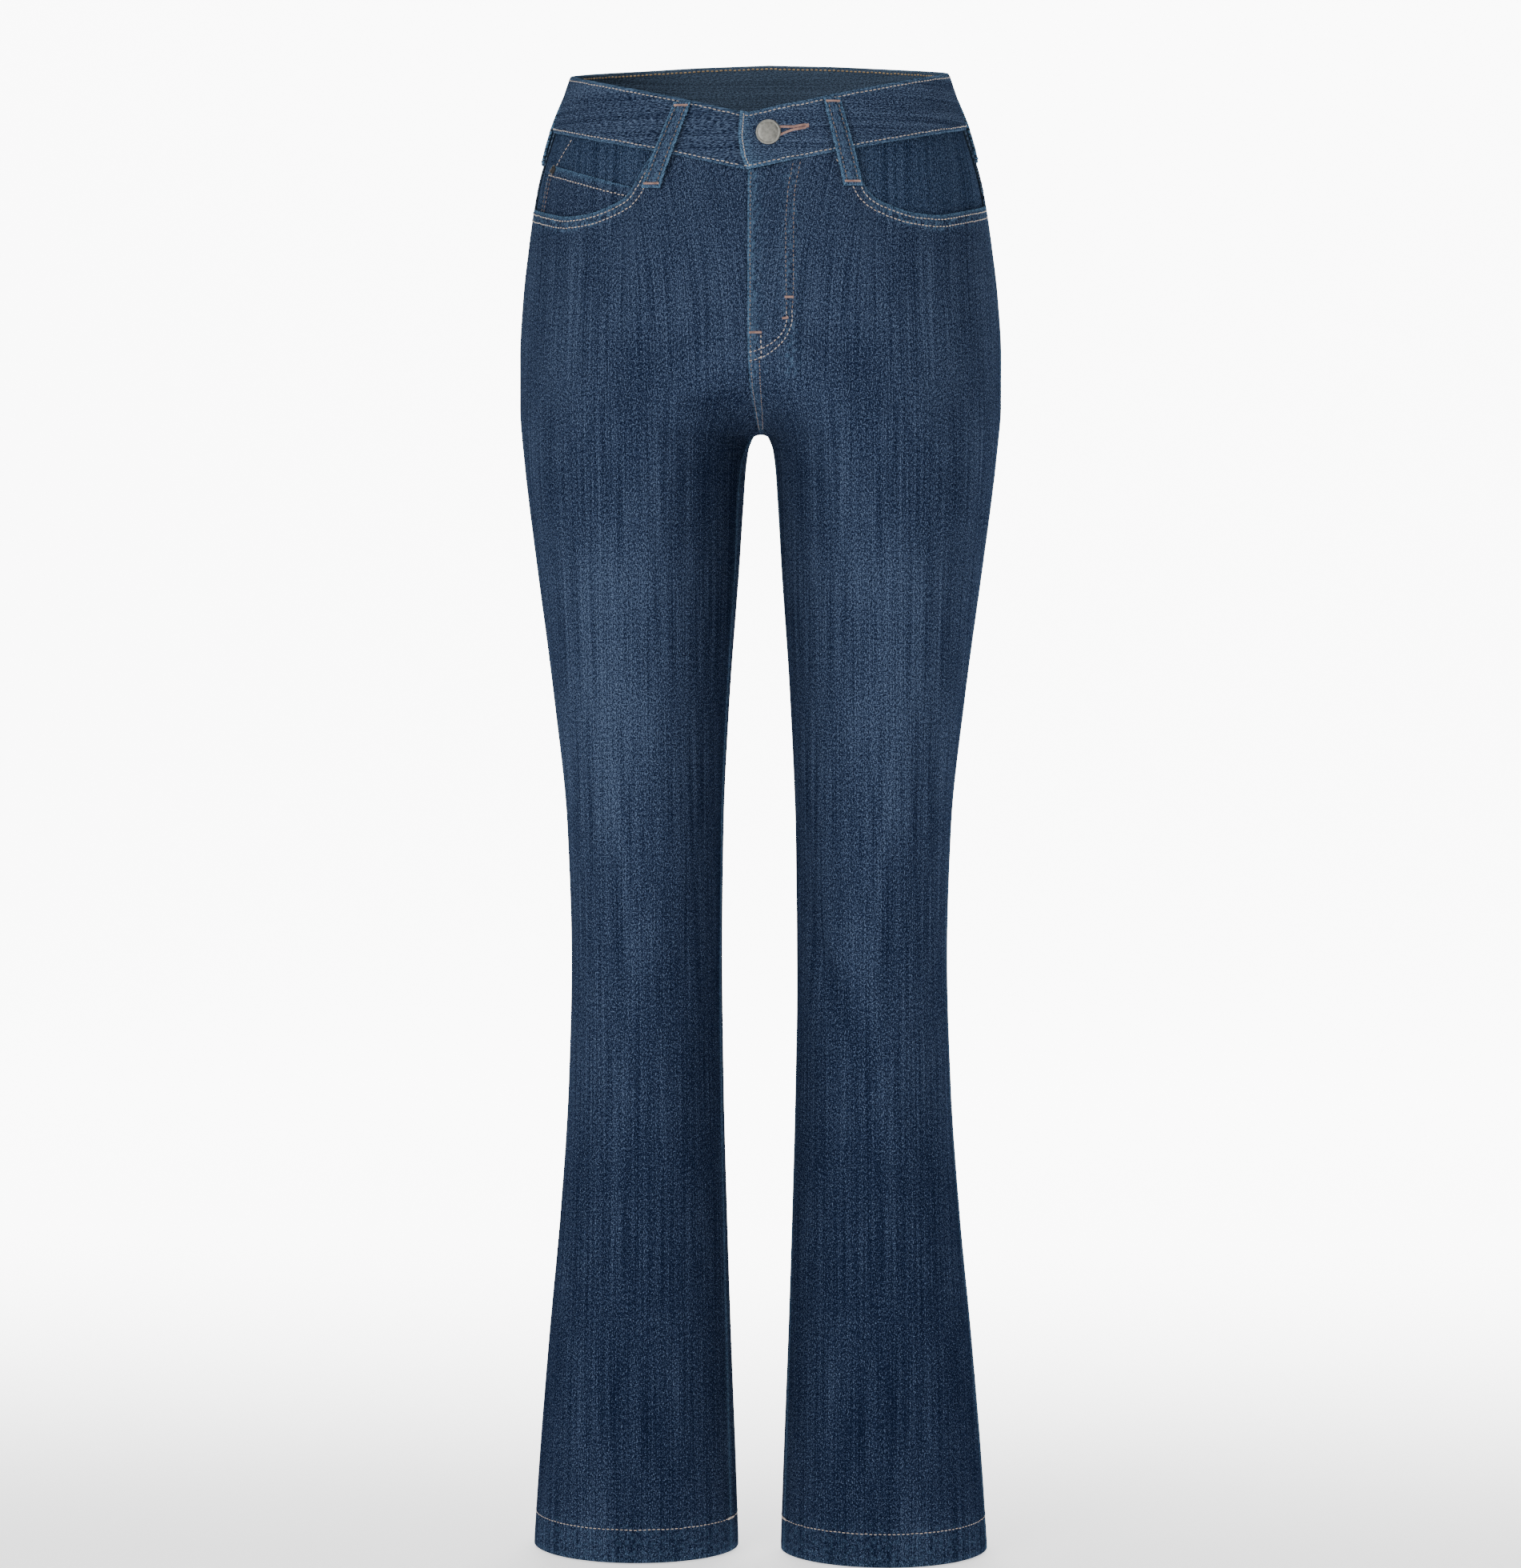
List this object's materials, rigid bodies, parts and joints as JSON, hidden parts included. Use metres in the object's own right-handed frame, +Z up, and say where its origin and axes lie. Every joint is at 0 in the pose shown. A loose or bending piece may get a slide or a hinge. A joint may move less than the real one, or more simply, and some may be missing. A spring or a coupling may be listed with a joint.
{
  "type": "bootcut jeans",
  "caption": "Women's bootcut jeans in indigo stretch denim, filled out hollow, with scooped front pockets, patch back pockets, belt loops and a fly.",
  "frame": {"origin": "centre of the waist opening, level with the top edge of the waistband at the sides", "axes": "+Z up along the body, +Y to the back, +X to the wearer's left"},
  "size_m": [0.3426, 0.2391, 1.0702],
  "materials": {
    "denim": "indigo stretch twill, worn pale on folded edges",
    "denim_facing": "unworn indigo twill behind the pocket mouths",
    "button_metal": "antiqued pewter",
    "rivet_metal": "blackened metal"
  },
  "bodies": {
    "root": {"front_left": "denim", "front_right": "denim", "back_left": "denim", "back_right": "denim", "yoke_left": "denim", "yoke_right": "denim", "waistband": "denim", "back_pocket_left": "denim", "back_pocket_right": "denim", "belt_loop_front_left": "denim", "belt_loop_front_right": "denim", "belt_loop_side_left": "denim", "belt_loop_side_right": "denim", "belt_loop_back": "denim", "coin_pocket": "denim", "hem_left": "denim", "hem_right": "denim", "pocket_facing_left": "denim_facing", "pocket_facing_right": "denim_facing", "button": "button_metal", "coin_pocket_rivet": "rivet_metal"}
  },
  "joints": []
}
